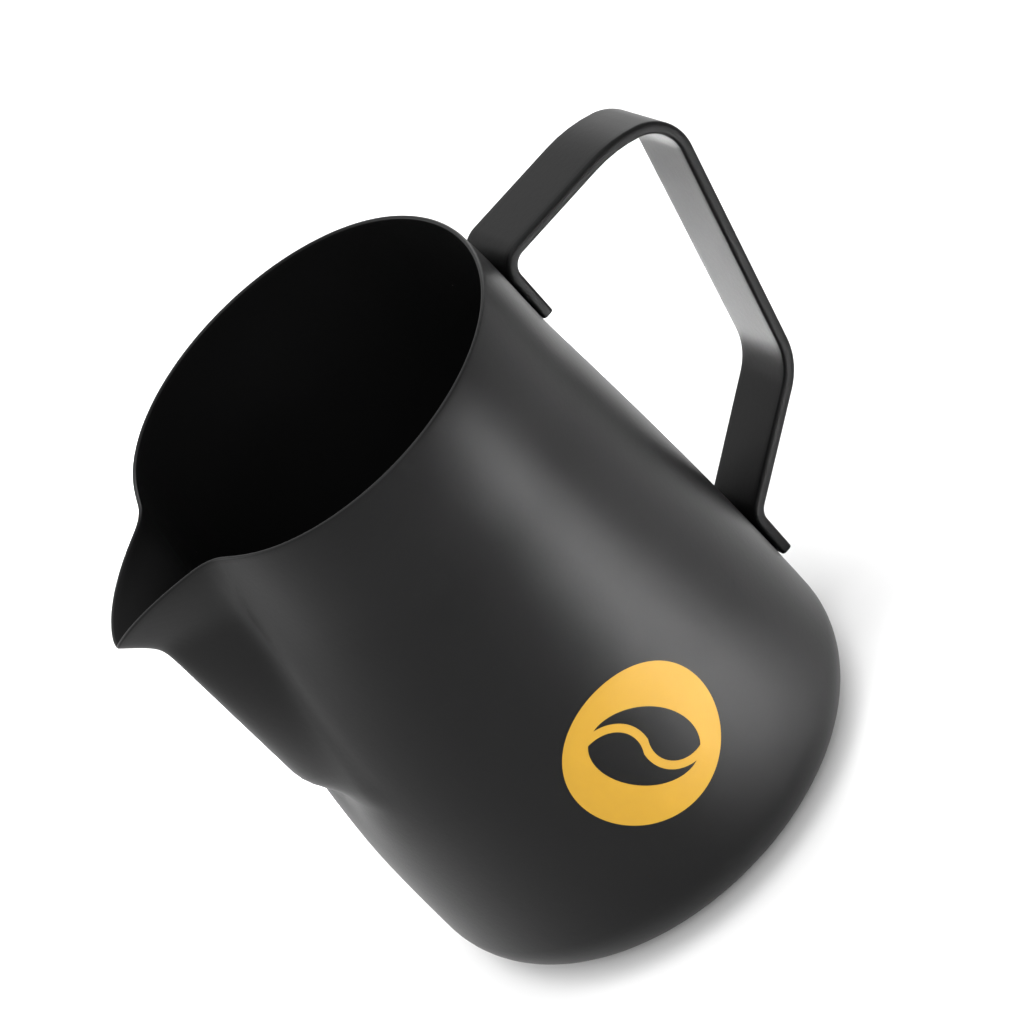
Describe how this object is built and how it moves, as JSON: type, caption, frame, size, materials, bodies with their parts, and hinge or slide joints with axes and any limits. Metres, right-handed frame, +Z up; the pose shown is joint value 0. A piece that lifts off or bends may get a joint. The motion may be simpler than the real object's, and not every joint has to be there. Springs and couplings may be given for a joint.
{
  "type": "milk frothing pitcher",
  "caption": "Black coated steel milk frothing pitcher with a pouring spout, an open strap handle and a round amber print on its belly.",
  "frame": {"origin": "centre of the round base on the plane that it rests on", "axes": "+Z up, +X towards the handle, -X towards the pouring spout, +Y to the left of a person who looks along +X; the jug and handle are symmetric about the XZ plane"},
  "size_m": [0.129, 0.0888, 0.1099],
  "materials": {
    "black_coating": "matt black coating on steel, inside and out",
    "black_coating_handle": "matt black coating on steel",
    "amber_ink": "screen printed amber ink"
  },
  "bodies": {
    "root": {"jug_body": "black_coating", "handle_strap": "black_coating_handle", "badge_print": "amber_ink"}
  },
  "joints": []
}
